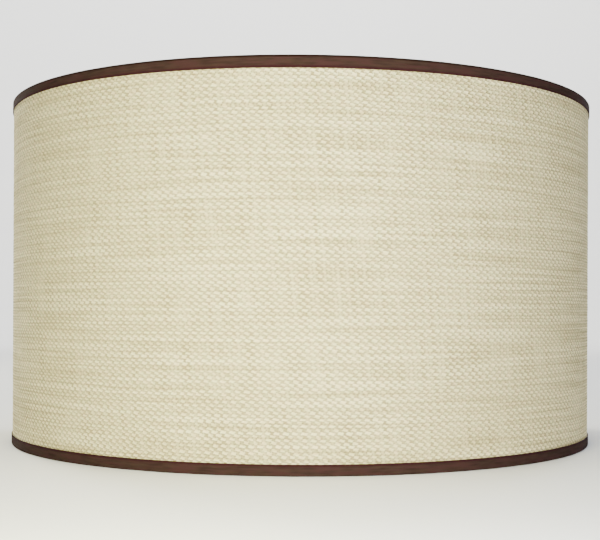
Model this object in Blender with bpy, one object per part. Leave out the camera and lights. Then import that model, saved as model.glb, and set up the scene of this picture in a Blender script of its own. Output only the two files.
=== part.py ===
"""A straight drum lamp shade.

A woven cover and a white lining are rolled together and lapped at the back seam. Dark bindings fold
round the top and bottom edges and hold them to two wire rings. Three arms run from the bottom ring to
the fitter ring, which sits on the lampholder, and a loose reducer ring makes its hole smaller.

The origin is the centre of the bottom rim, +Z is up, -Y is the front and the seam is at the back.
Lengths are in metres."""

from math import atan2, cos, hypot, pi, radians, sin

import bmesh
import bpy
from mathutils import Vector

MM = 0.001
TURN = 2 * pi
UP = Vector((0, 0, 1))

# Every piece keeps this gap to the piece that it touches.
GAP = 0.3 * MM

# The drum.
SHADE_DIAMETER = 350 * MM  # over the woven cover
SHADE_HEIGHT = 200 * MM  # over both bindings
COVER_THICKNESS = 0.8 * MM
LINING_THICKNESS = 0.5 * MM

# The back seam, where the rolled sheets climb over their own start.
SEAM_AZIMUTH = radians(90)
SEAM_LAP = 15.3 * MM
SEAM_RAMP_FACETS = 3
SEAM_TAPE_WIDTH = 12 * MM
SEAM_TAPE_THICKNESS = 0.2 * MM
SEAM_TAPE_INSET = 2 * MM

# The bindings: a face outside, a fold under the edge, a roll round the wire and a return up the lining.
BINDING_THICKNESS = 0.4 * MM
BINDING_FACE = 5.6 * MM
BINDING_RETURN = 3.2 * MM  # up the lining from the fillet over the roll
BINDING_CORNER = 0.5 * MM
SLIT_CLEARANCE = 0.4 * MM

# The wire frame.
RING_WIRE = 3 * MM
ARM_WIRE = 3 * MM
ARM_COUNT = 3
FIRST_ARM_AZIMUTH = radians(270)
ARM_WELD_LAP = 3 * MM
ARM_LEVEL_RUN = 18 * MM
WIRE_SIDES = 8

# The fitter ring, by its underside's height over the rim.
FITTER_HEIGHT = 20.5 * MM
FITTER_THICKNESS = 1.5 * MM
FITTER_HOLE = 42.5 * MM
FITTER_WIDTH = 5.75 * MM  # of the ring's flat, from its hole to its outer edge

# The loose reducer ring: a flange on the fitter ring, and a spigot down its hole.
REDUCER_LAP = 3.75 * MM  # of the flange on the fitter ring
REDUCER_HOLE = 29 * MM
REDUCER_THICKNESS = 2 * MM
SPIGOT_DEPTH = 3.5 * MM
SPIGOT_WALL = 1.5 * MM
SPIGOT_CLEARANCE = 0.4 * MM
SMALL_RING_SIDES = 48

# The blank rating label on the lining.
LABEL_FACETS = 3
LABEL_HEIGHT = 30 * MM
LABEL_BASE = 35 * MM
LABEL_THICKNESS = 0.15 * MM
LABEL_TURN = 0.2  # share of a turn from the seam

# Radii of the layers, from the cover inwards.
COVER_OUTER = SHADE_DIAMETER / 2
COVER_INNER = COVER_OUTER - COVER_THICKNESS
LINING_OUTER = COVER_INNER - GAP
LINING_INNER = LINING_OUTER - LINING_THICKNESS
RING_RADIUS = LINING_INNER - GAP - RING_WIRE / 2

# The drum is made of flat facets. One is as wide as the seam's lap, so the lap ends on a facet's edge.
FACETS = round(TURN * COVER_OUTER / SEAM_LAP)
LAP_STEP = COVER_OUTER + SEAM_TAPE_THICKNESS + 2 * GAP - LINING_INNER

# Heights.
SHEET_LOW = BINDING_THICKNESS + GAP
SHEET_HIGH = SHADE_HEIGHT - SHEET_LOW
RING_HEIGHT = BINDING_THICKNESS + GAP + RING_WIRE / 2
ROLL_TOP = RING_HEIGHT + RING_WIRE / 2 + GAP
RETURN_FOOT = ROLL_TOP + 2 * BINDING_THICKNESS
RETURN_TOP = RETURN_FOOT + BINDING_RETURN
FITTER_TOP = FITTER_HEIGHT + FITTER_THICKNESS
ARM_HEIGHT = FITTER_HEIGHT - GAP - ARM_WIRE / 2

# The small rings' outer radius.
FITTER_RADIUS = FITTER_HOLE / 2 + FITTER_WIDTH


def clear_scene():
    for item in list(bpy.data.objects):
        bpy.data.objects.remove(item, do_unlink=True)


def linear(channel):
    """An sRGB channel, from 0 to 1, as a linear one."""
    return channel / 12.92 if channel <= 0.04045 else ((channel + 0.055) / 1.055) ** 2.4


def make_material(name, colour, roughness, metallic=0.0):
    """A Principled material from a colour written as six sRGB hex digits."""
    material = bpy.data.materials.new(name)
    material.use_nodes = True
    shader = material.node_tree.nodes["Principled BSDF"]
    red, green, blue = (linear(int(colour[i : i + 2], 16) / 255) for i in (0, 2, 4))
    shader.inputs["Base Color"].default_value = (red, green, blue, 1)
    shader.inputs["Roughness"].default_value = roughness
    shader.inputs["Metallic"].default_value = metallic
    return material


def place(name, data, material, height=0.0):
    """A new object of this mesh or curve, on the shade's axis."""
    data.materials.append(material)
    item = bpy.data.objects.new(name, data)
    item.location.z = height
    bpy.context.collection.objects.link(item)
    return item


def finished(name, shape, material, height=0.0):
    """Closes the work on a bmesh: normals out, smooth where it is round, and into the scene."""
    bmesh.ops.recalc_face_normals(shape, faces=shape.faces)
    mesh = bpy.data.meshes.new(name)
    shape.to_mesh(mesh)
    shape.free()
    mesh.shade_smooth()
    mesh.set_sharp_from_angle(angle=radians(30))
    return place(name, mesh, material, height)


def drum_point(radius, station, height):
    """A corner of the faceted drum. Stations count the facets' edges from the seam."""
    azimuth = SEAM_AZIMUTH + station * TURN / FACETS
    return Vector((radius * cos(azimuth), radius * sin(azimuth), height))


def station_at(point):
    """The station of a corner of the drum, counted on past the full turn where the sheets lap."""
    turned = (atan2(point.y, point.x) - SEAM_AZIMUTH) % TURN
    station = round(turned * FACETS / TURN) % FACETS
    return station + FACETS if station <= 1 else station


def outwards(point):
    return Vector((point.x, point.y, 0)).normalized()


def vertices_in(geometry):
    return [item for item in geometry if isinstance(item, bmesh.types.BMVert)]


def seam_lift(station):
    """How far a rolled sheet stands off the plain drum as its end climbs onto its start."""
    climb = (station - (FACETS - SEAM_RAMP_FACETS)) / SEAM_RAMP_FACETS
    return LAP_STEP * min(max(climb, 0), 1)


def rolled_sheet(name, inner, thickness, low, high, stations, material):
    """A sheet round the drum: a row of corners drawn out by the thickness, and then up."""
    shape = bmesh.new()
    row = [shape.verts.new(drum_point(inner + seam_lift(s), s, low)) for s in stations]
    line = [shape.edges.new(pair) for pair in zip(row, row[1:])]
    drawn = bmesh.ops.extrude_edge_only(shape, edges=line)["geom"]
    for corner in vertices_in(drawn):
        corner.co += thickness * outwards(corner.co)
    raised = bmesh.ops.extrude_face_region(shape, geom=shape.faces[:])["geom"]
    bmesh.ops.translate(shape, vec=UP * (high - low), verts=vertices_in(raised))
    return finished(name, shape, material)


def spun(outline, sides):
    """A bmesh of an outline of (radius, height) corners, turned once round the axis from the seam."""
    shape = bmesh.new()
    corners = [shape.verts.new(drum_point(radius, 0, height)) for radius, height in outline]
    edges = [shape.edges.new(pair) for pair in zip(corners, corners[1:] + corners[:1])]
    bmesh.ops.spin(
        shape,
        geom=corners + edges,
        cent=(0, 0, 0),
        axis=UP,
        angle=TURN,
        steps=sides,
        use_merge=True,
    )
    return shape


def arc(centre, radius, first, last, step=45):
    """Points on an arc in the (radius, height) plane, between two angles in degrees."""
    count = round(abs(last - first) / step)
    angles = [radians(first + (last - first) * i / count) for i in range(count + 1)]
    return [(centre[0] + radius * cos(a), centre[1] + radius * sin(a)) for a in angles]


def make_lining(material):
    stations = range(FACETS + 2)
    return rolled_sheet(
        "lining_panel", LINING_INNER, LINING_THICKNESS, SHEET_LOW, SHEET_HIGH, stations, material
    )


def make_cover(material):
    stations = range(FACETS + 2)
    return rolled_sheet(
        "cover_fabric", COVER_INNER, COVER_THICKNESS, SHEET_LOW, SHEET_HIGH, stations, material
    )


def make_seam_tape(material):
    """The strip of adhesive tape between the lap's two layers, on the facet from station 0 to 1."""
    shape = bmesh.new()
    inner = COVER_OUTER + GAP
    facet = (drum_point(inner, 1, 0) - drum_point(inner, 0, 0)).length
    margin = (1 - SEAM_TAPE_WIDTH / facet) / 2
    corners = []
    for radius, share in (
        (inner, margin),
        (inner, 1 - margin),
        (inner + SEAM_TAPE_THICKNESS, 1 - margin),
        (inner + SEAM_TAPE_THICKNESS, margin),
    ):
        start = drum_point(radius, 0, SHEET_LOW + SEAM_TAPE_INSET)
        end = drum_point(radius, 1, SHEET_LOW + SEAM_TAPE_INSET)
        corners.append(shape.verts.new(start.lerp(end, share)))
    foot = shape.faces.new(corners)
    raised = bmesh.ops.extrude_face_region(shape, geom=[foot])["geom"]
    length = SHEET_HIGH - SHEET_LOW - 2 * SEAM_TAPE_INSET
    bmesh.ops.translate(shape, vec=UP * length, verts=vertices_in(raised))
    return finished("seam_tape", shape, material)


def make_label(material):
    first = round(FACETS * LABEL_TURN)
    stations = range(first, first + LABEL_FACETS + 1)
    inner = LINING_INNER - GAP - LABEL_THICKNESS
    top = LABEL_BASE + LABEL_HEIGHT
    return rolled_sheet(
        "rating_label", inner, LABEL_THICKNESS, LABEL_BASE, top, stations, material
    )


def make_wire_ring(name, height, material):
    section = arc((RING_RADIUS, 0), RING_WIRE / 2, 0, 360, 360 / WIRE_SIDES)[:-1]
    return finished(name, spun(section, FACETS), material, height)


def binding_outline():
    """The bottom binding's section, from its face's top edge round the wire to its return and back."""
    face_inner = COVER_OUTER + GAP
    face_outer = face_inner + BINDING_THICKNESS
    hidden_roll = RING_WIRE / 2 + GAP
    return_outer = LINING_INNER - GAP
    return_inner = return_outer - BINDING_THICKNESS
    wire = (RING_RADIUS, RING_HEIGHT)
    hidden = [(face_inner, BINDING_FACE), (face_inner, BINDING_THICKNESS)]
    hidden += arc(wire, hidden_roll, 270, 90)
    hidden += [(return_outer, RETURN_FOOT), (return_outer, RETURN_TOP)]
    shown = [(face_outer, BINDING_FACE), (face_outer, BINDING_CORNER)]
    shown += [(face_outer - BINDING_CORNER, 0)]
    shown += arc(wire, hidden_roll + BINDING_THICKNESS, 270, 90)
    shown += [(return_inner, RETURN_FOOT + BINDING_THICKNESS / 2), (return_inner, RETURN_TOP)]
    return hidden + shown[::-1]


def make_binding(name, material, at_top):
    """A binding whose face and fold stand out over the seam. The top one is the same, upside down."""
    shape = spun(binding_outline(), FACETS)
    for corner in shape.verts:
        if hypot(corner.co.x, corner.co.y) > COVER_OUTER:
            corner.co += seam_lift(station_at(corner.co)) * outwards(corner.co)
    if at_top:
        bmesh.ops.scale(shape, vec=(1, 1, -1), verts=shape.verts)
        bmesh.ops.translate(shape, vec=UP * SHADE_HEIGHT, verts=shape.verts)
    return finished(name, shape, material)


def arm_azimuths():
    return [FIRST_ARM_AZIMUTH + i * TURN / ARM_COUNT for i in range(ARM_COUNT)]


def cut_arm_slits(binding):
    """Cuts the bottom binding open from its return's edge down to the wire, once at each arm."""
    width = ARM_WIRE + 2 * SLIT_CLEARANCE
    low = BINDING_THICKNESS + GAP / 2
    high = RETURN_TOP + RING_WIRE
    near = RING_RADIUS - 2 * RING_WIRE
    far = LINING_INNER + LINING_THICKNESS
    for number, azimuth in enumerate(arm_azimuths(), 1):
        shape = bmesh.new()
        bmesh.ops.create_cube(shape, size=1)
        bmesh.ops.scale(shape, vec=(far - near, width, high - low), verts=shape.verts)
        centre = Vector(((near + far) / 2, 0, (low + high) / 2))
        bmesh.ops.translate(shape, vec=centre, verts=shape.verts)
        mesh = bpy.data.meshes.new(f"slit_cutter_{number}")
        shape.to_mesh(mesh)
        shape.free()
        cutter = bpy.data.objects.new(mesh.name, mesh)
        cutter.rotation_euler.z = azimuth
        cutter.hide_render = True
        cutter.display_type = "WIRE"
        bpy.context.collection.objects.link(cutter)
        slit = binding.modifiers.new(f"slit_{number}", "BOOLEAN")
        slit.object = cutter
        slit.operation = "DIFFERENCE"


def make_arms(material):
    """The arms run level out from under the fitter ring, and then down to the bottom ring's wire."""
    curve = bpy.data.curves.new("spider_arm", "CURVE")
    curve.dimensions = "3D"
    curve.bevel_depth = ARM_WIRE / 2
    curve.bevel_resolution = 2
    curve.use_fill_caps = True
    curve.materials.append(material)
    route = (
        (FITTER_RADIUS - ARM_WELD_LAP, ARM_HEIGHT),
        (FITTER_RADIUS + ARM_LEVEL_RUN, ARM_HEIGHT),
        (RING_RADIUS - RING_WIRE / 2 - GAP, RING_HEIGHT),
    )
    spline = curve.splines.new("POLY")
    spline.points.add(len(route) - 1)
    for point, (radius, height) in zip(spline.points, route):
        point.co = (radius, 0, height, 1)
    for number, azimuth in enumerate(arm_azimuths(), 1):
        arm = bpy.data.objects.new(f"spider_arm_{number}", curve)
        arm.rotation_euler.z = azimuth
        bpy.context.collection.objects.link(arm)


def make_fitter(material):
    inner = FITTER_HOLE / 2
    outline = [
        (inner, 0),
        (FITTER_RADIUS, 0),
        (FITTER_RADIUS, FITTER_THICKNESS),
        (inner, FITTER_THICKNESS),
    ]
    return finished("fitter_ring", spun(outline, SMALL_RING_SIDES), material, FITTER_HEIGHT)


def make_reducer(material):
    """The reducer's heights count from its flange's underside."""
    flange_outer = FITTER_HOLE / 2 + REDUCER_LAP
    spigot_outer = FITTER_HOLE / 2 - SPIGOT_CLEARANCE
    spigot_inner = spigot_outer - SPIGOT_WALL
    outline = [
        (REDUCER_HOLE / 2, 0),
        (spigot_inner, 0),
        (spigot_inner, -SPIGOT_DEPTH),
        (spigot_outer, -SPIGOT_DEPTH),
        (spigot_outer, 0),
        (flange_outer, 0),
        (flange_outer, REDUCER_THICKNESS),
        (REDUCER_HOLE / 2, REDUCER_THICKNESS),
    ]
    return finished("reducer_ring", spun(outline, SMALL_RING_SIDES), material, FITTER_TOP + GAP)


def main():
    clear_scene()
    weave = make_material("woven_cream_fabric", "DED7C2", 0.9)
    tape_cloth = make_material("brown_binding_cloth", "5C4438", 0.85)
    vinyl = make_material("white_lining_vinyl", "F2F0EA", 0.5)
    enamel = make_material("white_enamelled_wire", "ECEBE6", 0.35)
    plastic = make_material("white_moulded_plastic", "F0EFEA", 0.4)
    adhesive = make_material("adhesive_tape", "E6E2D6", 0.6)
    paper = make_material("label_paper", "F4F4F2", 0.6)

    make_lining(vinyl)
    make_cover(weave)
    make_seam_tape(adhesive)
    make_label(paper)
    make_wire_ring("bottom_ring", RING_HEIGHT, enamel)
    make_wire_ring("top_ring", SHADE_HEIGHT - RING_HEIGHT, enamel)
    make_binding("top_binding", tape_cloth, at_top=True)
    cut_arm_slits(make_binding("bottom_binding", tape_cloth, at_top=False))
    make_arms(enamel)
    make_fitter(enamel)
    make_reducer(plastic)


main()
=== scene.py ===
"""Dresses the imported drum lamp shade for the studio: woven cover, lining, bindings, wire frame,
fitter, reducer, label and the stage that it stands on. Lengths are in metres."""

from math import atan2, cos, hypot, pi, radians, sin, tan

import bmesh
import bpy
from bpy.props import FloatProperty, FloatVectorProperty, PointerProperty
from mathutils import Euler, Matrix, Vector, noise


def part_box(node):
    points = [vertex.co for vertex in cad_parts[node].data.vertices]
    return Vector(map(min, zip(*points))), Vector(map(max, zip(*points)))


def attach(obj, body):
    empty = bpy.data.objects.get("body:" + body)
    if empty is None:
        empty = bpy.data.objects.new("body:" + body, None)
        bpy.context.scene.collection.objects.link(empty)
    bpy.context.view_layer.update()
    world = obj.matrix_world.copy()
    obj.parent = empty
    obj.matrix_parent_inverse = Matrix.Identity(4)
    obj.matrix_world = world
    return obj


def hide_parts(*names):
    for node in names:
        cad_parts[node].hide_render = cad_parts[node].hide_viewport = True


bl_info = {
    "name": "Drum Lamp Shade",
    "version": (1, 0, 0),
    "blender": (4, 5, 0),
    "location": "View3D > Sidebar > Lamp Shade",
    "description": "Dresses a straight drum lamp shade around its packed frame",
    "category": "Object",
}

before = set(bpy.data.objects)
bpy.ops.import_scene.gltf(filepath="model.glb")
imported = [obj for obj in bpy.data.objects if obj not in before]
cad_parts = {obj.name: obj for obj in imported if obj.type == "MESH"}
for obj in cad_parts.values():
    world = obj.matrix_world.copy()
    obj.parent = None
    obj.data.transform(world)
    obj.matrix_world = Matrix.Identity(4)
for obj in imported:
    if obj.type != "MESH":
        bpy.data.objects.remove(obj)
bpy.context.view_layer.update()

MM = 0.001
TURN = 2 * pi
UP = Vector((0, 0, 1))


def node_middle(name):
    """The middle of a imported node's box."""
    low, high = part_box(name)
    return (low + high) / 2


def azimuth_of(point):
    """The angle of a point round the drum's axis, from +X towards +Y."""
    return atan2(point.y, point.x)


# Places and sizes read from the frame.
COVER_LOW, COVER_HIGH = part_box("cover_fabric")
RING_LOW, RING_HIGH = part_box("bottom_ring")
BINDING_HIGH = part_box("bottom_binding")[1]
FITTER_LOW, FITTER_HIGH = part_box("fitter_ring")
REDUCER_LOW, REDUCER_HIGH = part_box("reducer_ring")
LABEL_LOW, LABEL_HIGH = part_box("rating_label")
ARM_LOW, ARM_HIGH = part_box("spider_arm_1")
TAPE_LOW, TAPE_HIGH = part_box("seam_tape")
SHADE_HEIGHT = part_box("top_binding")[1].z
DRUM_RADIUS = COVER_HIGH.x
WIRE_RADIUS = (RING_HIGH.z - RING_LOW.z) / 2
RING_RADIUS = RING_HIGH.x - WIRE_RADIUS
RING_HEIGHT = node_middle("bottom_ring").z
ARM_RADIUS = (ARM_HIGH.x - ARM_LOW.x) / 2
ARM_LEVEL = ARM_HIGH.z - ARM_RADIUS
ARM_AZIMUTHS = [azimuth_of(node_middle(f"spider_arm_{number}")) for number in (1, 2, 3)]
ARM_INNER = -ARM_HIGH.y
FITTER_RADIUS = FITTER_HIGH.x
FLANGE_RADIUS = REDUCER_HIGH.x
LABEL_MIDDLE = node_middle("rating_label")

# The reducer's flange lies this far over the edge of the fitter's hole.
FLANGE_LEDGE = 3.75 * MM
FITTER_HOLE = FLANGE_RADIUS - FLANGE_LEDGE

# The rolled sheets, by how far each face lies out from the drum's plain radius.
SEAM_AZIMUTH = radians(90)
SEAM_LAP = 15.3 * MM
LAP_CLIMB = 20 * MM
COVER_FACE = -0.12 * MM
COVER_BACK = -0.9 * MM
LINING_FACE = -0.95 * MM
LINING_BACK = -1.45 * MM
LAP_STEP = 1.7 * MM
TAPE_BACK = 0.09 * MM
TAPE_FACE = 0.21 * MM
SHEET_LENGTH = TURN * DRUM_RADIUS + SEAM_LAP
SHEET_MARGIN = 0.2 * MM
SHEET_FOOT = COVER_LOW.z + SHEET_MARGIN
SHEET_TOP = COVER_HIGH.z - SHEET_MARGIN
SHEET_HEIGHT = SHEET_TOP - SHEET_FOOT


def linear(hex_colour):
    """A colour written as six sRGB hex digits, as the linear colour that shaders take."""
    channels = (int(hex_colour[i : i + 2], 16) / 255 for i in (0, 2, 4))
    return tuple(c / 12.92 if c <= 0.04045 else ((c + 0.055) / 1.055) ** 2.4 for c in channels)


def tint(colour):
    """A colour with the alpha that colour sockets take."""
    return (*colour, 1)


class CoverSettings(bpy.types.PropertyGroup):
    """The woven cover's cloth."""

    warp_spacing: FloatProperty(
        name="Warp Spacing",
        description="Distance between the upright yarns",
        default=2.18 * MM,
        unit="LENGTH",
    )
    weft_spacing: FloatProperty(
        name="Weft Spacing",
        description="Distance between the level yarns",
        default=1.63 * MM,
        unit="LENGTH",
    )
    warp_lean: FloatProperty(
        name="Warp Lean",
        description="How far the upright yarns lean from the vertical",
        default=radians(4.8),
        subtype="ANGLE",
    )
    relief: FloatProperty(
        name="Relief",
        description="How far a yarn rises where it passes over another",
        default=0.15 * MM,
        unit="LENGTH",
    )
    twist: FloatProperty(
        name="Twist",
        description="How far a weft's float slants, in yarns a yarn",
        default=0.35,
    )
    weft_light: FloatVectorProperty(
        name="Light Weft",
        description="Colour of the palest level yarn",
        default=linear("F9F1C3"),
        subtype="COLOR",
    )
    weft_dark: FloatVectorProperty(
        name="Dark Weft",
        description="Colour of the darkest level yarn",
        default=linear("DDD19F"),
        subtype="COLOR",
    )
    warp_light: FloatVectorProperty(
        name="Light Warp",
        description="Colour of the palest upright yarn",
        default=linear("D0C598"),
        subtype="COLOR",
    )
    warp_dark: FloatVectorProperty(
        name="Dark Warp",
        description="Colour of the darkest upright yarn",
        default=linear("A99D73"),
        subtype="COLOR",
    )
    # Painted shade: the colour laid deep between the yarns, standing in for the shade there.
    gap: FloatVectorProperty(
        name="Gap",
        description="Colour deep between the yarns",
        default=linear("817553"),
        subtype="COLOR",
    )
    cool_fibre: FloatVectorProperty(
        name="Cool Fibre",
        description="Greenish cast of some fibres",
        default=linear("F9FCF2"),
        subtype="COLOR",
    )
    warm_fibre: FloatVectorProperty(
        name="Warm Fibre",
        description="Pinkish cast of some fibres",
        default=linear("FFF8F2"),
        subtype="COLOR",
    )


class BindingSettings(bpy.types.PropertyGroup):
    """The folded tape on both rims."""

    thickness: FloatProperty(
        name="Thickness",
        description="Thickness of the folded tape",
        default=0.42 * MM,
        unit="LENGTH",
    )
    fold_radius: FloatProperty(
        name="Fold Radius",
        description="Radius of the fold round the rim's outer edge",
        default=0.6 * MM,
        unit="LENGTH",
    )
    thread_spacing: FloatProperty(
        name="Thread Spacing",
        description="Distance between the tape's threads",
        default=0.5 * MM,
        unit="LENGTH",
    )
    face: FloatProperty(
        name="Face",
        description="How far the tape reaches down the cover from the rim",
        default=5.7 * MM,
        unit="LENGTH",
    )
    top_sway: FloatProperty(
        name="Top Sway",
        description="How much wider the top tape's face runs at the front than on average",
        default=0.4 * MM,
        unit="LENGTH",
    )
    bottom_sway: FloatProperty(
        name="Bottom Sway",
        description="How much wider the bottom tape's face runs at the front than on average",
        default=-0.1 * MM,
        unit="LENGTH",
    )
    # Shares of painted shade along each tape's fold at the rim.
    top_fold_shade: FloatProperty(
        name="Top Fold", description="How far the top tape darkens at its fold", default=0.9
    )
    bottom_fold_shade: FloatProperty(
        name="Bottom Fold", description="How far the bottom tape darkens at its fold", default=0.0
    )
    colour: FloatVectorProperty(
        name="Colour",
        description="Colour of the dyed cotton",
        default=linear("392B25"),
        subtype="COLOR",
    )
    colour_dark: FloatVectorProperty(
        name="Dark Colour",
        description="Colour of the cotton where the dye is deepest",
        default=linear("2C1F1C"),
        subtype="COLOR",
    )
    colour_warm: FloatVectorProperty(
        name="Warm Colour",
        description="Colour of the cotton where the dye has reddened",
        default=linear("3A2625"),
        subtype="COLOR",
    )
    colour_hem: FloatVectorProperty(
        name="Hem Colour",
        description="Colour along the edge that is turned under",
        default=linear("2E1519"),
        subtype="COLOR",
    )
    # Painted shade laid along the fold at the rim.
    fold_shade_colour: FloatVectorProperty(
        name="Edge Colour",
        description="Colour along the fold at the rim",
        default=linear("1D0F0A"),
        subtype="COLOR",
    )


class FrameSettings(bpy.types.PropertyGroup):
    """The enamelled wire frame, its fitter and the reducer."""

    knee_radius: FloatProperty(
        name="Knee Radius",
        description="Radius of the bend in each arm",
        default=14 * MM,
        unit="LENGTH",
    )
    weld_size: FloatProperty(
        name="Weld Size",
        description="Half the length of a weld bead",
        default=2.6 * MM,
        unit="LENGTH",
    )
    enamel: FloatVectorProperty(
        name="Enamel",
        description="Colour of the enamel on the wire",
        default=linear("EDECE7"),
        subtype="COLOR",
    )
    plastic: FloatVectorProperty(
        name="Plastic",
        description="Colour of the reducer's moulded plastic",
        default=linear("F1F0EB"),
        subtype="COLOR",
    )


class StageSettings(bpy.types.PropertyGroup):
    """The camera, the lights and the floor."""

    distance: FloatProperty(
        name="Camera Distance",
        description="Distance from the camera to the shade's axis",
        default=0.7077,
        unit="LENGTH",
    )
    height: FloatProperty(
        name="Camera Height",
        description="Height of the level camera over the floor",
        default=0.0791,
        unit="LENGTH",
    )
    turn: FloatProperty(
        name="Camera Turn",
        description="How far the camera looks to the right of the axis",
        default=radians(0.7),
        subtype="ANGLE",
    )
    roll: FloatProperty(
        name="Camera Roll",
        description="How far the camera is rolled about its line of sight",
        default=radians(0.25),
        subtype="ANGLE",
    )
    lens: FloatProperty(
        name="Lens", description="Focal length on a 36 mm sensor, in millimetres", default=67.51
    )
    rise: FloatProperty(
        name="Lens Rise", description="Upward shift of the lens, in frame widths", default=0.0663
    )
    slide: FloatProperty(
        name="Lens Slide", description="Sideways shift of the lens, in frame widths", default=-0.025
    )
    floor: FloatVectorProperty(
        name="Floor", description="Colour of the floor", default=linear("F4F4F2"), subtype="COLOR"
    )


def add(tree, kind, links=None, output=0, **settings):
    """Adds a shader node and returns one of its outputs. Links gives its inputs, each a value or
    another node's output, and settings gives its own choices."""
    made = tree.nodes.new("ShaderNode" + kind)
    for name, value in settings.items():
        setattr(made, name, value)
    for name, value in (links or {}).items():
        if isinstance(value, bpy.types.NodeSocket):
            tree.links.new(value, made.inputs[name])
        else:
            made.inputs[name].default_value = value
    return made.outputs[output]


def new_material(name, roughness, **values):
    """A named material with its Principled shader's plain values set. Returns it, its tree and shader."""
    material = bpy.data.materials.new(name)
    material.use_nodes = True
    shader = material.node_tree.nodes["Principled BSDF"]
    shader.inputs["Roughness"].default_value = roughness
    for socket, value in values.items():
        shader.inputs[socket.replace("_", " ")].default_value = value
    return material, material.node_tree, shader


def natural_weave(cover):
    """Undyed slub yarn in a coarse plain weave: matt and soft, the pale wefts lying on darker warps.
    The map counts the yarns, so every crossing meets the relief of the cloth under it."""
    material, tree, shader = new_material(
        "undyed_slub_weave", 0.9, Specular_IOR_Level=0.2, Sheen_Weight=0.05, Sheen_Roughness=0.5
    )

    # In yarns, and in a yarn's thickness: how far a float strays, how high a yarn swings, how it
    # falls away across, how softly it meets the next, and how far its fibres stand up.
    stray, swing, fall_away, softness, fuzz = 0.8, 0.5, -3.4, 0.15, 0.15

    # Hand-spun yarns wander a little, so no two floats are quite alike.
    yarns = add(tree, "UVMap", uv_map="Yarns")
    wander = add(tree, "TexNoise", {"Vector": yarns, "Scale": 0.45, "Detail": 1.0}, 1)
    links = {"Vector": wander, "To Min": (-0.5,) * 3, "To Max": (0.5,) * 3}
    shift = add(tree, "MapRange", links, 1, data_type="FLOAT_VECTOR")
    links = {0: shift, 1: (stray, stray, 0.0), 2: yarns}
    moved = add(tree, "VectorMath", links, operation="MULTIPLY_ADD")
    warp, weft, _ = add(tree, "SeparateXYZ", {0: moved}).node.outputs
    warp_number = add(tree, "Math", {0: warp}, operation="ROUND")
    off_warp = add(tree, "Math", {0: warp, 1: warp_number}, operation="SUBTRACT")
    twisted = add(tree, "Math", {0: off_warp, 1: cover.twist, 2: weft}, operation="MULTIPLY_ADD")
    weft_number = add(tree, "Math", {0: twisted}, operation="ROUND")
    off_weft = add(tree, "Math", {0: twisted, 1: weft_number}, operation="SUBTRACT")

    def yarn_height(along, crossed, off_centre, reach, depth):
        """A yarn swings over and under those that it crosses, and is round across."""
        waves = []
        for count in (along, crossed):
            angle = add(tree, "Math", {0: count, 1: pi}, operation="MULTIPLY")
            waves.append(add(tree, "Math", {0: angle}, operation="COSINE"))
        over_under = add(tree, "Math", dict(enumerate(waves)), operation="MULTIPLY")
        rise = add(tree, "Math", {0: over_under, 1: reach}, operation="MULTIPLY")
        square = add(tree, "Math", {0: off_centre, 1: off_centre}, operation="MULTIPLY")
        round_off = add(tree, "Math", {0: square, 1: fall_away}, operation="MULTIPLY")
        bowed = add(tree, "Math", {0: rise, 1: round_off}, operation="ADD")
        return add(tree, "Math", {0: bowed, 1: depth}, operation="ADD")

    def cloud(place, scale):
        """Soft patches that run from 0 to 1."""
        patch = add(tree, "TexNoise", {"Vector": place, "Scale": scale, "Detail": 2.0})
        return add(tree, "MapRange", {"Value": patch, "From Min": 0.35, "From Max": 0.65})

    # Long slubs: each yarn's thickness and shade drift along it. The warps lie a little deeper.
    weft_stretch, warp_stretch, slub_scale = (0.035, 1.0, 1.0), (1.0, 0.06, 1.0), 0.8
    weft_place = add(tree, "Mapping", {"Vector": yarns, "Scale": weft_stretch})
    warp_place = add(tree, "Mapping", {"Vector": yarns, "Scale": warp_stretch})
    weft_shade = cloud(weft_place, slub_scale)
    warp_shade = cloud(warp_place, slub_scale)
    weft_depth = add(tree, "Math", {0: weft_shade, 1: 0.4, 2: -0.2}, operation="MULTIPLY_ADD")
    warp_depth = add(tree, "Math", {0: warp_shade, 1: 0.3, 2: -0.45}, operation="MULTIPLY_ADD")
    weft_height = yarn_height(warp, weft_number, off_weft, swing, weft_depth)
    warp_height = yarn_height(twisted, warp_number, off_warp, -swing, warp_depth)
    heights = {0: weft_height, 1: warp_height}
    height = add(tree, "Math", {**heights, 2: softness}, operation="SMOOTH_MAX")
    lead = add(tree, "Math", heights, operation="SUBTRACT")
    weft_on_top = add(tree, "MapRange", {"Value": lead, "From Min": -0.25, "From Max": 0.45})

    # Each yarn's own colour, with painted shade deep between the yarns, and a cast of cool and warm
    # fibres.
    links = {0: weft_shade, 6: tint(cover.weft_dark), 7: tint(cover.weft_light)}
    weft_colour = add(tree, "Mix", links, 2, data_type="RGBA")
    links = {0: warp_shade, 6: tint(cover.warp_dark), 7: tint(cover.warp_light)}
    warp_colour = add(tree, "Mix", links, 2, data_type="RGBA")
    links = {0: weft_on_top, 6: warp_colour, 7: weft_colour}
    yarn = add(tree, "Mix", links, 2, data_type="RGBA")
    # Painted shade: the lowest places between the yarns are darkened toward the gap shade colour.
    links = {"Value": height, "From Min": -0.75, "From Max": -0.15, "To Min": 1.0, "To Max": 0.0}
    painted_gap_shade = add(tree, "MapRange", links)
    shaded = add(tree, "Mix", {0: painted_gap_shade, 6: yarn, 7: tint(cover.gap)}, 2, data_type="RGBA")
    links = {0: cloud(yarns, 0.55), 6: tint(cover.cool_fibre), 7: tint(cover.warm_fibre)}
    flax = add(tree, "Mix", links, 2, data_type="RGBA")
    links = {0: 1.0, 6: shaded, 7: flax}
    cloth = add(tree, "Mix", links, 2, data_type="RGBA", blend_type="MULTIPLY")
    tree.links.new(cloth, shader.inputs["Base Color"])

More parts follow.
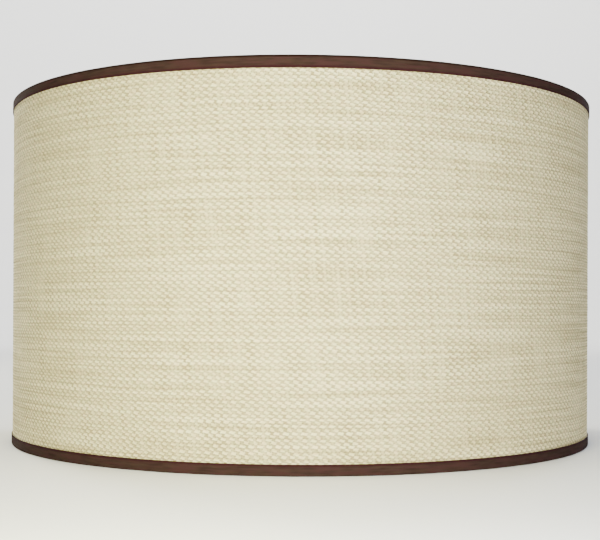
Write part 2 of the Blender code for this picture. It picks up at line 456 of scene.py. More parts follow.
    # Fibres along each yarn, finer than the yarn itself.
    fibre = add(tree, "TexNoise", {"Vector": yarns, "Scale": 5.0, "Detail": 3.0})
    raised = add(tree, "Math", {0: fibre, 1: fuzz, 2: height}, operation="MULTIPLY_ADD")
    bump = add(tree, "Bump", {"Strength": 1.0, "Distance": cover.relief * 2, "Height": raised})
    tree.links.new(bump, shader.inputs["Normal"])
    return material


def dyed_cotton_tape(binding, name, fold_shade_share):
    """Dark dyed cotton tape, cut on the bias: close, matt and almost without sheen, with the dye
    darkest along its turned hem and, by the share given, painted shade along its fold at the rim,
    where the tape turns away from the light. Its threads are drawn twice as coarse as real ones to show."""
    material, tree, shader = new_material(name, 0.9, Specular_IOR_Level=0.05, Sheen_Weight=0.0)

    def dye_or_shade_over(under, over, value, low, high, first=0.0, last=1.0):
        """Lays one colour over another, by a share that runs from first to last as the value does
        from low to high."""
        links = {"Value": value, "From Min": low, "From Max": high, "To Min": first, "To Max": last}
        share = add(tree, "MapRange", links, interpolation_type="SMOOTHSTEP")
        return add(tree, "Mix", {0: share, 6: under, 7: over}, 2, data_type="RGBA")

    # The threads cross at 45 degrees to the tape, and the dye runs in streaks along it.
    place = add(tree, "UVMap", uv_map="Tape")
    across = add(tree, "SeparateXYZ", {0: place}, 1)
    scale = (1 / binding.thread_spacing,) * 3
    turned = add(
        tree, "Mapping", {"Vector": place, "Rotation": (0, 0, radians(45)), "Scale": scale}
    )
    ribs = []
    for count in add(tree, "SeparateXYZ", {0: turned}).node.outputs[:2]:
        angle = add(tree, "Math", {0: count, 1: TURN}, operation="MULTIPLY")
        ribs.append(add(tree, "Math", {0: angle}, operation="SINE"))
    threads = add(tree, "Math", dict(enumerate(ribs)), operation="ADD")
    stretch, fleck, patch = (0.12, 1.0, 1.0), 1.111 * MM, 1.667 * MM
    streaks = add(tree, "Mapping", {"Vector": place, "Scale": stretch})
    flecks = add(tree, "TexNoise", {"Vector": streaks, "Scale": 1 / fleck, "Detail": 3.0})
    patches = add(tree, "TexNoise", {"Vector": streaks, "Scale": 1 / patch, "Detail": 1.0})

    dark = tint(binding.colour_dark)
    body = dye_or_shade_over(dark, tint(binding.colour), flecks, 0.3, 0.7)
    warm = dye_or_shade_over(body, tint(binding.colour_warm), patches, 0.4, 0.65)
    thread = dye_or_shade_over(warm, dark, threads, -2.0, 0.4, 0.35, 0.0)
    hem_start, hem_end = 0.4 * MM, 1.4 * MM
    hem = dye_or_shade_over(thread, tint(binding.colour_hem), across, hem_start, hem_end, 0.9, 0.0)
    # Painted shade along the fold at the rim, where the tape turns away from the light, by the share
    # given.
    fold = binding.face - 0.8 * MM
    fade = 0.6 * MM
    edge = dye_or_shade_over(hem, tint(binding.fold_shade_colour), across, fold - fade, fold, 0.0, fold_shade_share)
    tree.links.new(edge, shader.inputs["Base Color"])
    bump = add(tree, "Bump", {"Strength": 0.5, "Distance": 0.06 * MM, "Height": threads})
    tree.links.new(bump, shader.inputs["Normal"])
    return material


def clouded(name, roughness, tones, cloud, detail, **values):
    """A material whose colour drifts between two tones in clouds of this size. Returns it, its
    tree, its shader and its Object coordinates."""
    material, tree, shader = new_material(name, roughness, **values)
    place = add(tree, "TexCoord", output="Object")
    drift = add(tree, "TexNoise", {"Vector": place, "Scale": 1 / cloud, "Detail": detail})
    links = {0: drift, 6: tint(tones[0]), 7: tint(tones[1])}
    colour = add(tree, "Mix", links, 2, data_type="RGBA")
    tree.links.new(colour, shader.inputs["Base Color"])
    return material, tree, shader, place


def calendered_vinyl():
    """White lampshade vinyl, calendered with a faint linen grain: satin, with soft highlights."""
    tones = linear("EFECE4"), linear("F6F4EE")
    material, tree, shader, place = clouded(
        "calendered_white_vinyl", 0.42, tones, cloud=71.4 * MM, detail=2.0
    )
    grain = add(tree, "TexVoronoi", {"Vector": place, "Scale": 1 / (0.9 * MM), "Randomness": 0.8})
    bump = add(tree, "Bump", {"Strength": 0.2, "Distance": 0.03 * MM, "Height": grain})
    tree.links.new(bump, shader.inputs["Normal"])
    return material


def white_enamel(settings):
    """Stove enamel on steel wire: white and glossy, with the slight orange peel of a dipped coat."""
    tones = tuple(0.9 * channel for channel in settings.enamel), settings.enamel
    material, tree, shader, place = clouded(
        "stove_enamel_on_steel", 0.28, tones, cloud=16.67 * MM, detail=3.0, Coat_Weight=0.3
    )
    peel = add(tree, "TexNoise", {"Vector": place, "Scale": 1 / (2.5 * MM), "Detail": 2.0})
    bump = add(tree, "Bump", {"Strength": 0.25, "Distance": 0.06 * MM, "Height": peel})
    tree.links.new(bump, shader.inputs["Normal"])
    return material


def moulded_plastic(settings):
    """Injection-moulded polypropylene: white, even, with a fine spark-eroded texture."""
    tones = tuple(0.95 * channel for channel in settings.plastic), settings.plastic
    glow = {"Subsurface_Weight": 0.1, "Subsurface_Scale": 1 * MM}
    material, tree, shader, place = clouded(
        "moulded_polypropylene", 0.38, tones, cloud=11.11 * MM, detail=1.0, **glow
    )
    spark = add(tree, "TexNoise", {"Vector": place, "Scale": 1 / (0.4 * MM), "Detail": 2.0})
    bump = add(tree, "Bump", {"Strength": 0.2, "Distance": 0.02 * MM, "Height": spark})
    tree.links.new(bump, shader.inputs["Normal"])
    return material


def uncoated_paper():
    """Uncoated label paper: white, dead matt, with a faint cloud of fibres."""
    tones = linear("E6E5E0"), linear("F7F7F5")
    return clouded("uncoated_label_paper", 0.8, tones, cloud=1.111 * MM, detail=4.0)[0]


def adhesive_film():
    """Clear adhesive film, yellowed in patches with age."""
    tones = linear("D9CFB0"), linear("E9E3D2")
    return clouded("yellowed_adhesive_film", 0.3, tones, cloud=8.333 * MM, detail=2.0)[0]


def seamless_paper(stage):
    """Seamless studio paper, matt and nearly white."""
    material, _, shader = new_material("seamless_studio_paper", 0.9)
    shader.inputs["Base Color"].default_value = tint(stage.floor)
    return material


def smooth_step(share):
    """Eases a share in and out, and holds it between 0 and 1."""
    share = min(max(share, 0), 1)
    return share * share * (3 - 2 * share)


def lap_lift(along):
    """How far a rolled sheet stands off the plain drum as its end climbs onto its start."""
    return LAP_STEP * smooth_step((along - TURN * DRUM_RADIUS) / LAP_CLIMB + 1)


def on_drum(along, out, height):
    """A flat sheet's point once it is rolled: so far along from the seam, out and up."""
    azimuth = SEAM_AZIMUTH + along / DRUM_RADIUS
    radius = DRUM_RADIUS + out + lap_lift(along)
    return Vector((radius * cos(azimuth), radius * sin(azimuth), height))


def roll_up(shape):
    """Rolls a flat bmesh onto the drum. It lies along X from the seam, faces +Y and stands along Z."""
    for corner in shape.verts:
        corner.co = on_drum(*corner.co)


def finish_piece(name, shape, material, body, replaced, sharp=35):
    """Makes a piece of a bmesh, gives it its material, and sets it on the body that carries it."""
    bmesh.ops.recalc_face_normals(shape, faces=shape.faces)
    mesh = bpy.data.meshes.new(name)
    shape.to_mesh(mesh)
    shape.free()
    mesh.shade_smooth()
    mesh.set_sharp_from_angle(angle=radians(sharp))
    mesh.materials.append(material)
    piece = bpy.data.objects.new(name, mesh)
    bpy.context.collection.objects.link(piece)
    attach(piece, body)
    if replaced:
        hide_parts(*replaced)
    return piece


def arc(centre, radius, first, last, steps):
    """Points on an arc in a plane, between two angles in degrees, both ends included."""
    angles = [radians(first + (last - first) * i / steps) for i in range(steps + 1)]
    return [(centre[0] + radius * cos(a), centre[1] + radius * sin(a)) for a in angles]


def flat_slab(length, height, steps, rows, back, face, foot):
    """A closed flat slab for rolling up, as a bmesh: a grid drawn out from its back to its face."""
    shape = bmesh.new()
    bmesh.ops.create_grid(shape, x_segments=steps, y_segments=rows, size=0.5)
    for corner in shape.verts:
        corner.co = ((corner.co.x + 0.5) * length, back, foot + (corner.co.y + 0.5) * height)
    drawn = bmesh.ops.extrude_face_region(shape, geom=shape.faces[:])["geom"]
    moved = [item for item in drawn if isinstance(item, bmesh.types.BMVert)]
    bmesh.ops.translate(shape, vec=(0, face - back, 0), verts=moved)
    return shape


def slub(number, along, reach):
    """How thick a yarn is at a place along it, from -1, thin, to 1, thick."""
    return noise.noise(Vector((along / reach, number * 5.37, 0.5)))


def woven_skin(cover):
    """The cover's face, flat: a grid with a corner where each warp crosses each weft, raised where
    the weft is on top and sunk where the warp is. Its map counts the yarns."""
    spare = 6
    warps = round(SHEET_LENGTH / cover.warp_spacing) + 2 * spare
    wefts = round(SHEET_HEIGHT / cover.weft_spacing)
    # How far a yarn sways along with its neighbours and strays on its own, held at the cut edges,
    # and the lengths over which it does so and over which its slubs swell.
    warp_sway, warp_stray, warp_waves = 0.5 * MM, 0.22 * MM, (45 * MM, 20 * MM)
    weft_sway, weft_stray, weft_waves = 0.45 * MM, 0.28 * MM, (60 * MM, 30 * MM)
    weft_swell, warp_swell, edge_rows = 50 * MM, 40 * MM, 3
    shape = bmesh.new()
    bmesh.ops.create_grid(shape, x_segments=warps, y_segments=wefts, size=0.5)
    yarns = shape.loops.layers.uv.new("Yarns")
    for face in shape.faces:
        for loop in face.loops:
            place = loop.vert.co
            loop[yarns].uv = ((place.x + 0.5) * warps, (place.y + 0.5) * wefts)
    for corner in shape.verts:
        warp = round((corner.co.x + 0.5) * warps)
        weft = round((corner.co.y + 0.5) * wefts)
        level = SHEET_HEIGHT * weft / wefts
        along = (warp - spare) * cover.warp_spacing
        along -= tan(cover.warp_lean) * (level - SHEET_HEIGHT / 2)
        free = min(weft, wefts - weft, edge_rows) / edge_rows
        along += free * warp_sway * noise.noise(Vector((warp * 0.09, level / warp_waves[0], 2.0)))
        along += free * warp_stray * noise.noise(Vector((warp * 3.1, level / warp_waves[1], 7.0)))
        level += free * weft_sway * noise.noise(Vector((along / weft_waves[0], weft * 0.31, 4.0)))
        level += free * weft_stray * noise.noise(Vector((along / weft_waves[1], weft * 2.7, 9.0)))
        over = 1 if (warp + weft) % 2 == 0 else -1
        weft_slub = slub(weft, along, weft_swell)
        warp_slub = slub(warp + 0.5, level, warp_swell)
        rise = over * cover.relief * (1 + 0.45 * weft_slub * over - 0.3 * warp_slub * over)
        out = COVER_FACE + rise + 0.05 * MM * weft_slub
        corner.co = (along, out, SHEET_FOOT + level)
    for end, outside in ((0, -1), (SHEET_LENGTH, 1)):
        bmesh.ops.bisect_plane(
            shape,
            geom=shape.verts[:] + shape.edges[:] + shape.faces[:],
            plane_co=(end, 0, 0),
            plane_no=(outside, 0, 0),
            clear_outer=True,
        )
    return shape


def close_cloth(shape):
    """Gives the flat skin its cut edges and its back, and closes both ends."""
    chains = []
    for height in (SHEET_FOOT, SHEET_TOP):
        edge = [
            e
            for e in shape.edges
            if e.is_boundary and all(abs(v.co.z - height) < 1e-6 for v in e.verts)
        ]
        drawn = bmesh.ops.extrude_edge_only(shape, edges=edge)["geom"]
        for item in drawn:
            if isinstance(item, bmesh.types.BMVert):
                item.co.y = COVER_BACK
        chains.append([item for item in drawn if isinstance(item, bmesh.types.BMEdge)])
    rims = [
        [e for e in chain if all(abs(v.co.y - COVER_BACK) < 1e-7 for v in e.verts)]
        for chain in chains
    ]
    bmesh.ops.bridge_loops(shape, edges=rims[0] + rims[1])
    rows = 8
    for row in range(1, rows):
        wall = [f for f in shape.faces if all(v.co.y < COVER_BACK + 1e-7 for v in f.verts)]
        pieces = set(wall)
        for face in wall:
            pieces.update(face.edges)
            pieces.update(face.verts)
        bmesh.ops.bisect_plane(
            shape,
            geom=list(pieces),
            plane_co=(0, 0, SHEET_FOOT + SHEET_HEIGHT * row / rows),
            plane_no=(0, 0, 1),
        )
    bmesh.ops.holes_fill(shape, edges=[e for e in shape.edges if e.is_boundary], sides=0)


def map_for_baking(shape, skin):
    """Lays the flat cloth out once more, with nothing overlapping: its face in two long rows that
    take nearly all the room, and its back, its edges and its ends in strips over them."""
    bake = shape.loops.layers.uv.new("OFBake")
    shape.normal_update()
    overlap, deepest = 3 * MM, 1.2 * MM
    margin = 0.005
    row_step, row_height = 0.455, 0.445
    back_foot, back_height = 0.91, 0.04
    edge_foot, edge_step, edge_height = 0.955, 0.012, 0.01
    end_foot, end_height, end_step, end_length = 0.98, 0.009, 0.5, 0.49
    for face in shape.faces:
        second = face.calc_center_median().x > SHEET_LENGTH / 2
        for loop in face.loops:
            along, out, height = loop.vert.co
            level = (height - SHEET_FOOT) / SHEET_HEIGHT
            depth = (out - COVER_BACK) / deepest
            across, up = along / SHEET_LENGTH, 0.0
            if face in skin:
                start = SHEET_LENGTH / 2 - overlap if second else 0
                across = (along - start) / (SHEET_LENGTH / 2 + overlap)
                up = row_step * second + row_height * level
            elif abs(face.normal.y) > 0.5:
                up = back_foot + back_height * level
            elif abs(face.normal.z) > 0.5:
                up = edge_foot + edge_step * (level > 0.5) + edge_height * depth
            else:
                across = end_step * second + end_length * level
                up = end_foot + end_height * depth
            loop[bake].uv = [margin + (1 - 2 * margin) * place for place in (across, up)]


def make_cover(cover):
    """The woven cover: its cloth is woven flat, closed, mapped and rolled."""
    shape = woven_skin(cover)
    skin = set(shape.faces)
    close_cloth(shape)
    map_for_baking(shape, skin)
    yarns = shape.loops.layers.uv["Yarns"]
    for face in shape.faces:
        if face in skin:
            continue
        for loop in face.loops:
            along, _, height = loop.vert.co
            loop[yarns].uv = (along / cover.warp_spacing, height / cover.weft_spacing)
    roll_up(shape)
    weave = natural_weave(cover)
    piece = finish_piece("woven_cover", shape, weave, "shade", ["cover_fabric"], sharp=60)
    return piece


def make_lining():
    """The stiff panel under the cover, rolled in short steps that keep it round."""
    steps, rows = 365, 6
    shape = flat_slab(
        SHEET_LENGTH, SHEET_HEIGHT, steps, rows, LINING_BACK, LINING_FACE, SHEET_FOOT
    )
    roll_up(shape)
    return finish_piece(
        "vinyl_lining", shape, calendered_vinyl(), "shade", ["lining_panel"]
    )


def make_seam_tape():
    """The adhesive that holds the lapped seam, centred between its two layers."""
    width = TAPE_HIGH.x - TAPE_LOW.x
    margin = (SEAM_LAP - width) / 2
    shape = flat_slab(width, TAPE_HIGH.z - TAPE_LOW.z, 6, 1, TAPE_BACK, TAPE_FACE, TAPE_LOW.z)
    bmesh.ops.translate(shape, vec=(margin, 0, 0), verts=shape.verts)
    roll_up(shape)
    return finish_piece(
        "seam_adhesive", shape, adhesive_film(), "shade", ["seam_tape"]
    )


def make_label():
    """A blank label, its corners rounded, bent to the lining's inner face."""
    clear, thickness, corner_radius, strips = 0.02 * MM, 0.13 * MM, 3 * MM, 16
    turned = (azimuth_of(LABEL_MIDDLE) - SEAM_AZIMUTH) % TURN
    width = hypot(LABEL_HIGH.x - LABEL_LOW.x, LABEL_HIGH.y - LABEL_LOW.y)
    height = LABEL_HIGH.z - LABEL_LOW.z
    face = LINING_BACK - clear
    shape = flat_slab(width, height, 1, 1, face - thickness, face, LABEL_LOW.z)
    corners = [e for e in shape.edges if abs(e.verts[0].co.y - e.verts[1].co.y) > thickness / 2]
    bmesh.ops.bevel(
        shape,
        geom=corners,
        offset=corner_radius,
        offset_type="OFFSET",
        affect="EDGES",
        segments=6,
        profile=0.5,
        material=-1,
    )
    for strip in range(1, strips):
        bmesh.ops.bisect_plane(
            shape,
            geom=shape.verts[:] + shape.edges[:] + shape.faces[:],
            plane_co=(width * strip / strips, 0, 0),
            plane_no=(1, 0, 0),
        )
    bmesh.ops.translate(shape, vec=(turned * DRUM_RADIUS - width / 2, 0, 0), verts=shape.verts)
    roll_up(shape)
    return finish_piece("blank_label", shape, uncoated_paper(), "shade", ["rating_label"])


def spun(outline, steps, start=0.0, closed=True):
    """A bmesh of an outline of (radius, height) corners, turned once round the axis."""
    shape = bmesh.new()
    heading = Vector((cos(start), sin(start), 0))
    corners = [shape.verts.new(radius * heading + height * UP) for radius, height in outline]
    following = corners[1:] + corners[:1] if closed else corners[1:]
    edges = [shape.edges.new(pair) for pair in zip(corners, following)]
    bmesh.ops.spin(
        shape,
        geom=corners + edges,
        cent=(0, 0, 0),
        axis=UP,
        angle=TURN,
        steps=steps,
        use_merge=True,
    )
    return shape


def tape_centreline(binding):
    """The middle of the tape's thickness, from its face's edge round the wire to its return's edge."""
    clear, past_wire, lead, settle = 0.1 * MM, 1 * MM, 0.35 * MM, 0.3 * MM
    face_rows, return_rows = 6, 3
    half = binding.thickness / 2
    fold = binding.fold_radius
    face = BINDING_HIGH.x - half - clear
    drop = (binding.face - half - fold) / face_rows
    line = [(face, binding.face - row * drop) for row in range(face_rows)]
    line += arc((face - fold, half + fold), fold, 0, -90, 8)
    line += arc((RING_RADIUS, RING_HEIGHT), RING_HEIGHT - half, 270, 100, 18)
    back = DRUM_RADIUS + LINING_BACK - half
    foot = RING_HEIGHT + (RING_HEIGHT - half) + past_wire
    line += [(back - lead, foot - lead)]
    climb = (BINDING_HIGH.z - foot - settle) / return_rows
    line += [(back, foot + settle + row * climb) for row in range(return_rows + 1)]
    return line


def thickened(line, thickness):
    """A closed outline round an open line: one side out, a round end, and the other side back."""
    half = thickness / 2
    points = [Vector(point) for point in line]
    sides = []
    for index, point in enumerate(points):
        before = points[max(index - 1, 0)]
        after = points[min(index + 1, len(points) - 1)]
        heading = (after - before).normalized()
        sides.append(Vector((-heading.y, heading.x)))
    left = [point + half * side for point, side in zip(points, sides)]
    right = [point - half * side for point, side in zip(points, sides)]
    caps = []
    for point, side, sign in ((points[-1], sides[-1], 1), (points[0], sides[0], -1)):
        lead = Vector((side.y, -side.x)) * sign
        turns = (radians(45), radians(90), radians(135))
        caps.append([point + half * sign * (side * cos(t) + sign * lead * sin(t)) for t in turns])
    return left + caps[0] + right[::-1] + caps[1]


def make_binding(binding, name, node, at_top):
    """A binding: its section spun round, then pushed out over the lapped seam."""
    line = tape_centreline(binding)
    outline = [tuple(point) for point in thickened(line, binding.thickness)]
    shape = spun(outline, 360, SEAM_AZIMUTH)
    tape = shape.loops.layers.uv.new("Tape")
    paths = [0.0]
    for first, second in zip(line, line[1:]):
        paths.append(paths[-1] + hypot(second[0] - first[0], second[1] - first[1]))

    def across(point):
        radius = hypot(point.x, point.y)
        gaps = [hypot(radius - r, point.z - z) for r, z in line]
        return paths[gaps.index(min(gaps))]

    widths = {corner: across(corner.co) for corner in shape.verts}
    for face in shape.faces:
        middle = (azimuth_of(face.calc_center_median()) - SEAM_AZIMUTH) % TURN
        for loop in face.loops:
            turned = (azimuth_of(loop.vert.co) - SEAM_AZIMUTH) % TURN
            if turned - middle > pi:
                turned -= TURN
            if middle - turned > pi:
                turned += TURN
            loop[tape].uv = (turned * DRUM_RADIUS, widths[loop.vert])

    # The face sways a little in width, ripples, and swells over the lapped seam.
    ripple, ripple_length, ripple_width = 0.05 * MM, 12 * MM, 4 * MM
    step_down, face_depth = 3.2 * MM, 1.2 * MM
    sway = binding.top_sway if at_top else binding.bottom_sway
    bend = 2 * binding.fold_radius
    for corner in shape.verts:
        flat = Vector((corner.co.x, corner.co.y, 0))
        on_face = flat.length > DRUM_RADIUS - face_depth
        if on_face and corner.co.z > bend:
            from_front = azimuth_of(flat) + pi / 2
            wider = sway * cos(3 * from_front) / (binding.face - bend)
            corner.co.z += wider * (corner.co.z - bend)
        along = (azimuth_of(flat) - SEAM_AZIMUTH) % TURN * DRUM_RADIUS
        if along > TURN * DRUM_RADIUS - 1e-6:
            along = 0.0
        spot = Vector((along / ripple_length, widths[corner] / ripple_width, 1.5))
        lift = ripple * noise.noise(spot)
        if on_face:
            lift += lap_lift(along)
            if along < SEAM_LAP + step_down:
                lift += LAP_STEP * smooth_step(1 - (along - SEAM_LAP) / step_down)
        corner.co += lift * flat.normalized()
    if at_top:
        bmesh.ops.scale(shape, vec=(1, 1, -1), verts=shape.verts)
        bmesh.ops.translate(shape, vec=SHADE_HEIGHT * UP, verts=shape.verts)
    # The top tape gets painted shade along its fold at the rim, the bottom one none.
    place, fold_shade_share = ("top", binding.top_fold_shade) if at_top else ("bottom", binding.bottom_fold_shade)
    cotton = dyed_cotton_tape(binding, f"dyed_cotton_bias_tape_{place}", fold_shade_share)
    piece = finish_piece(name, shape, cotton, "shade", [node])
    return piece


def make_wire_ring(name, node, height, material):
    """A ring of round wire, lying level at this height."""
    outline = arc((RING_RADIUS, height), WIRE_RADIUS, 0, 360, 20)[:-1]
    return finish_piece(name, spun(outline, 180), material, "shade", [node], sharp=60)


def arm_route(settings):
    """An arm's middle line in its own plane: level from the fitter, bent, then down to the ring."""
    level_run, bite = 21 * MM, 0.8
    start = Vector((ARM_INNER, ARM_LEVEL))
    knee = Vector((ARM_INNER + level_run, ARM_LEVEL))
    end = Vector((RING_RADIUS - bite * WIRE_RADIUS, RING_HEIGHT))
    slope = (end - knee).normalized()
    drop = atan2(-slope.y, slope.x)
    reach = settings.knee_radius * tan(drop / 2)
    centre = (knee.x - reach, ARM_LEVEL - settings.knee_radius)
    bend = arc(centre, settings.knee_radius, 90, 90 - drop * 180 / pi, 6)
    return [tuple(start), *bend, tuple(end)]


def swept_wire(route, azimuth, radius, sides=16):
    """A round wire along a route of (radius, height) points in the plane of this azimuth."""
    shape = bmesh.new()
    out = Vector((cos(azimuth), sin(azimuth), 0))
    points = [r * out + z * UP for r, z in route]
    rings = []
    for index, point in enumerate(points):
        before = points[max(index - 1, 0)]
        after = points[min(index + 1, len(points) - 1)]
        facing = (after - before).normalized().to_track_quat("Z", "Y").to_matrix().to_4x4()
        made = bmesh.ops.create_circle(
            shape,
            cap_ends=False,
            segments=sides,
            radius=radius,
            matrix=Matrix.Translation(point) @ facing,
        )["verts"]
        rings.append(list({edge for corner in made for edge in corner.link_edges}))
    for first, second in zip(rings, rings[1:]):
        bmesh.ops.bridge_loops(shape, edges=first + second)
    bmesh.ops.holes_fill(shape, edges=[e for e in shape.edges if e.is_boundary], sides=0)
    return shape


def make_arms(settings, material):
    """The three arms that carry the fitter."""
    for number, azimuth in enumerate(ARM_AZIMUTHS, 1):
        shape = swept_wire(arm_route(settings), azimuth, ARM_RADIUS)
        node = f"spider_arm_{number}"
        finish_piece(f"frame_arm_{number}", shape, material, "shade", [node], sharp=50)


def make_welds(settings, material):
    """A bead where each arm meets the fitter ring, and one where it meets the bottom ring."""
    shape = bmesh.new()
    size = settings.weld_size
    squat, lumps, lump_scale = (0.75, 0.85, 0.55), 0.12, 1.7
    under_fitter = (ARM_INNER + 1.6 * MM, FITTER_LOW.z - 0.1 * MM)
    for azimuth in ARM_AZIMUTHS:
        turn = Matrix.Rotation(azimuth, 4, "Z")
        for radius, height in (under_fitter, arm_route(settings)[-1]):
            made = bmesh.ops.create_icosphere(shape, subdivisions=3, radius=size)["verts"]
            bmesh.ops.scale(shape, vec=squat, verts=made)
            for corner in made:
                lump = lumps * size * noise.noise(corner.co / size * lump_scale)
                corner.co += lump * corner.co.normalized()
            place = Vector((radius * cos(azimuth), radius * sin(azimuth), height))
            bmesh.ops.transform(shape, matrix=Matrix.Translation(place) @ turn, verts=made)
    return finish_piece("weld_beads", shape, material, "shade", [], sharp=80)


def rounded_outline(corners, radius, steps=4):
    """A closed outline whose corners are rounded by this radius."""
    points = [Vector(corner) for corner in corners]
    outline = []
    for index, point in enumerate(points):
        before = (points[index - 1] - point).normalized()
        after = (points[(index + 1) % len(points)] - point).normalized()
        start, end = point + radius * before, point + radius * after
        for step in range(steps + 1):
            share = step / steps
            first = start.lerp(point, share)
            second = point.lerp(end, share)
            outline.append(tuple(first.lerp(second, share)))
    return outline


def make_fitter(material):
    """The flat washer that the lampholder grips, its cut edges rounded by the enamel."""
    low, high = FITTER_LOW.z, FITTER_HIGH.z
    corners = [(FITTER_HOLE, low), (FITTER_RADIUS, low), (FITTER_RADIUS, high), (FITTER_HOLE, high)]
    shape = spun(rounded_outline(corners, 0.35 * MM), 128)
    return finish_piece("ring_fitter", shape, material, "shade", ["fitter_ring"])


def make_reducer(settings):
    """The loose ring: a spigot for the fitter's hole, under a flange with a shallow groove on top."""
    play, wall, hole = 0.4 * MM, 1.5 * MM, 14.5 * MM
    rim, lip, slope, groove = 3 * MM, 1.6 * MM, 0.6 * MM, 0.4 * MM
    outer = FITTER_HOLE - play
    inner = outer - wall
    foot, top = REDUCER_LOW.z, REDUCER_HIGH.z
    seat = FITTER_HIGH.z + 0.1 * MM
    ceiling = seat + 0.2 * MM
    corners = [
        (hole, ceiling),
        (inner, ceiling),
        (inner, foot),
        (outer, foot),
        (outer, seat),
        (FLANGE_RADIUS, seat),
        (FLANGE_RADIUS, top),
        (FLANGE_RADIUS - rim, top),
        (FLANGE_RADIUS - rim - slope, top - groove),
        (hole + lip + slope, top - groove),
        (hole + lip, top),
        (hole, top),
    ]
    shape = spun(rounded_outline(corners, 0.18 * MM, 3), 128)
    return finish_piece(
        "plastic_reducer", shape, moulded_plastic(settings), "reducer", ["reducer_ring"]
    )


def make_camera(stage):
    """A level camera before the shade, whose shifted lens frames it."""
    camera = bpy.data.cameras.new("camera")
    camera.lens = stage.lens
    camera.sensor_width = 36.0
    camera.shift_x = stage.slide
    camera.shift_y = stage.rise
    camera.clip_start = 0.01
    eye = bpy.data.objects.new("camera", camera)
    eye.location = (0, -stage.distance, stage.height)
    heading = Euler((pi / 2, 0, -stage.turn)).to_matrix()
    eye.rotation_euler = (heading @ Matrix.Rotation(stage.roll, 3, "Z")).to_euler()
    bpy.context.collection.objects.link(eye)
    bpy.context.scene.camera = eye


def make_light(name, place, target, size, power, spread=180, colour=(1, 1, 1)):
    """A rectangular soft light that faces its target. Spread is in degrees, and power in watts."""
    light = bpy.data.lights.new(name, "AREA")
    light.shape = "RECTANGLE"
    light.size, light.size_y = size
    light.energy = power
    light.spread = radians(spread)
    light.color = colour
    lamp = bpy.data.objects.new(name, light)
    lamp.location = place
    facing = Vector(target) - Vector(place)
    lamp.rotation_euler = facing.to_track_quat("-Z", "Y").to_euler()
    lamp.visible_camera = False
    bpy.context.collection.objects.link(lamp)


def make_lights():
    """Two close soft keys in front, one of them warmer, gentle lights behind and above, and a wash
    on each stretch of wall."""
    shade = (0, 0, SHADE_HEIGHT / 2)
    warm, cool = (1, 1, 0.58), (0.9, 0.91, 1)
    sun, sky = (1, 0.98, 0.84), (0.8, 0.86, 1)
    key, box, long_x, long_y = (0.14, 0.14), (0.6, 0.6), (2.0, 0.6), (0.6, 2.0)
    make_light("warm_key", (-0.07, -0.45, 0.12), shade, key, 1.72, 180, warm)
    make_light("cool_key", (0.08, -0.45, 0.12), shade, key, 0.99, 180, cool)
    make_light("back_left", (-1.1, 1.5, 1.0), shade, box, 5.8, 60, sun)
    make_light("back_right", (0.9, 1.6, 1.0), shade, box, 2.7, 60, sky)
    make_light("overhead", (0, 0, 1.8), shade, box, 1.5, 60)
    make_light("wash_back", (0, 1.4, 1.9), (0, 3.2, 0.5), long_x, 95)
    make_light("wash_front", (0, -1.4, 1.9), (0, -3.2, 0.5), long_x, 55)
    make_light("wash_left", (-1.4, 0, 1.9), (-3.2, 0, 0.5), long_y, 28)
    make_light("wash_right", (1.4, 0, 1.9), (3.2, 0, 0.5), long_y, 14)
    world = bpy.data.worlds.new("studio_air")
    world.use_nodes = True
    air = world.node_tree.nodes["Background"]
    air.inputs["Color"].default_value = (1, 1, 1, 1)
    air.inputs["Strength"].default_value = 0.07
    bpy.context.scene.world = world


def make_floor(stage):
    """A round floor of studio paper that sweeps up into a low wall all round."""
    reach, sweep, wall = 2.4, 0.8, 1.6
    line = [(0.0, 0.0), (0.6, 0.0), (1.2, 0.0), (reach, 0.0)]
    line += arc((reach, sweep), sweep, -90, 0, 10)[1:]
    line += [(reach + sweep, wall)]
    shape = spun(line, 96, closed=False)
    bmesh.ops.remove_doubles(shape, verts=shape.verts, dist=1e-6)
    bmesh.ops.recalc_face_normals(shape, faces=shape.faces)
    mesh = bpy.data.meshes.new("paper_floor")
    shape.to_mesh(mesh)
    shape.free()
    mesh.shade_smooth()
    mesh.materials.append(seamless_paper(stage))
    floor = bpy.data.objects.new("paper_floor", mesh)
    bpy.context.collection.objects.link(floor)


class ShadeMaker:
    """What the operators share."""

    bl_options = {"REGISTER", "UNDO"}


class SHADE_OT_stage(ShadeMaker, bpy.types.Operator):
    """Set up the camera, the lights and the floor"""

    bl_idname = "shade.stage"
    bl_label = "Stage"

    def execute(self, context):
        stage = context.scene.shade_stage
        make_camera(stage)
        make_lights()
        make_floor(stage)
        return {"FINISHED"}


class SHADE_OT_cover(ShadeMaker, bpy.types.Operator):
    """Weave the cover and roll it round the drum"""

    bl_idname = "shade.cover"
    bl_label = "Woven Cover"

    def execute(self, context):
        make_cover(context.scene.shade_cover)
        return {"FINISHED"}


class SHADE_OT_lining(ShadeMaker, bpy.types.Operator):
    """Roll the lining, and add the tape in its seam and the label on it"""

    bl_idname = "shade.lining"
    bl_label = "Lining"

    def execute(self, context):
        make_lining()
        make_seam_tape()
        make_label()
        return {"FINISHED"}


class SHADE_OT_bindings(ShadeMaker, bpy.types.Operator):
    """Fold the bindings over both rims"""

    bl_idname = "shade.bindings"
    bl_label = "Bindings"

    def execute(self, context):
        binding = context.scene.shade_binding
        make_binding(binding, "top_tape", "top_binding", at_top=True)
        make_binding(binding, "bottom_tape", "bottom_binding", at_top=False)
        return {"FINISHED"}


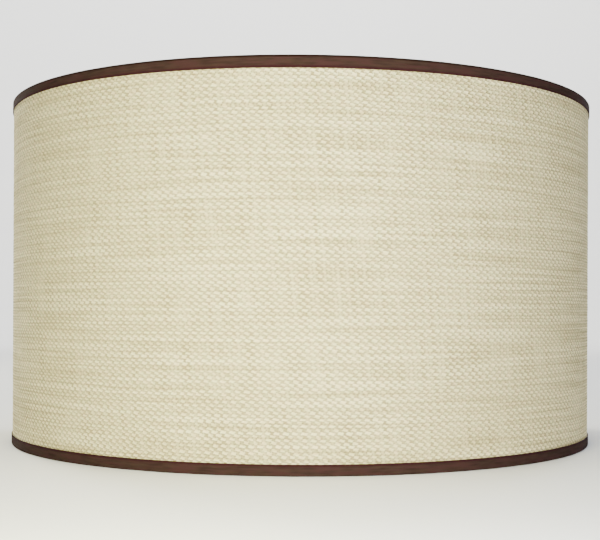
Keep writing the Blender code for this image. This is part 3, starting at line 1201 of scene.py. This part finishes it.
class SHADE_OT_wire_frame(ShadeMaker, bpy.types.Operator):
    """Make the rings, the arms, their welds and the fitter"""

    bl_idname = "shade.wire_frame"
    bl_label = "Wire Frame"

    def execute(self, context):
        settings = context.scene.shade_frame
        enamel = white_enamel(settings)
        make_wire_ring("bottom_wire", "bottom_ring", RING_HEIGHT, enamel)
        make_wire_ring("top_wire", "top_ring", SHADE_HEIGHT - RING_HEIGHT, enamel)
        make_arms(settings, enamel)
        make_welds(settings, enamel)
        make_fitter(enamel)
        return {"FINISHED"}


class SHADE_OT_reducer(ShadeMaker, bpy.types.Operator):
    """Mould the loose reducer ring"""

    bl_idname = "shade.reducer"
    bl_label = "Reducer"

    def execute(self, context):
        make_reducer(context.scene.shade_frame)
        return {"FINISHED"}


class SHADE_PT_panel(bpy.types.Panel):
    """The lamp shade's pieces in the sidebar"""

    bl_idname = "SHADE_PT_panel"
    bl_label = "Lamp Shade"
    bl_space_type = "VIEW_3D"
    bl_region_type = "UI"
    bl_category = "Lamp Shade"

    def draw(self, context):
        for operator in OPERATORS:
            self.layout.operator(operator.bl_idname)


SETTINGS = {
    "shade_cover": CoverSettings,
    "shade_binding": BindingSettings,
    "shade_frame": FrameSettings,
    "shade_stage": StageSettings,
}
OPERATORS = (
    SHADE_OT_stage,
    SHADE_OT_cover,
    SHADE_OT_lining,
    SHADE_OT_bindings,
    SHADE_OT_wire_frame,
    SHADE_OT_reducer,
)


def register():
    for kind in (*SETTINGS.values(), *OPERATORS, SHADE_PT_panel):
        bpy.utils.register_class(kind)
    for name, kind in SETTINGS.items():
        setattr(bpy.types.Scene, name, PointerProperty(type=kind))


def unregister():
    for name in SETTINGS:
        delattr(bpy.types.Scene, name)
    for kind in (SHADE_PT_panel, *reversed(OPERATORS), *reversed(SETTINGS.values())):
        bpy.utils.unregister_class(kind)


def main():
    register()
    for operator in OPERATORS:
        group, name = operator.bl_idname.split(".")
        getattr(getattr(bpy.ops, group), name)()


if __name__ == "__main__":
    main()
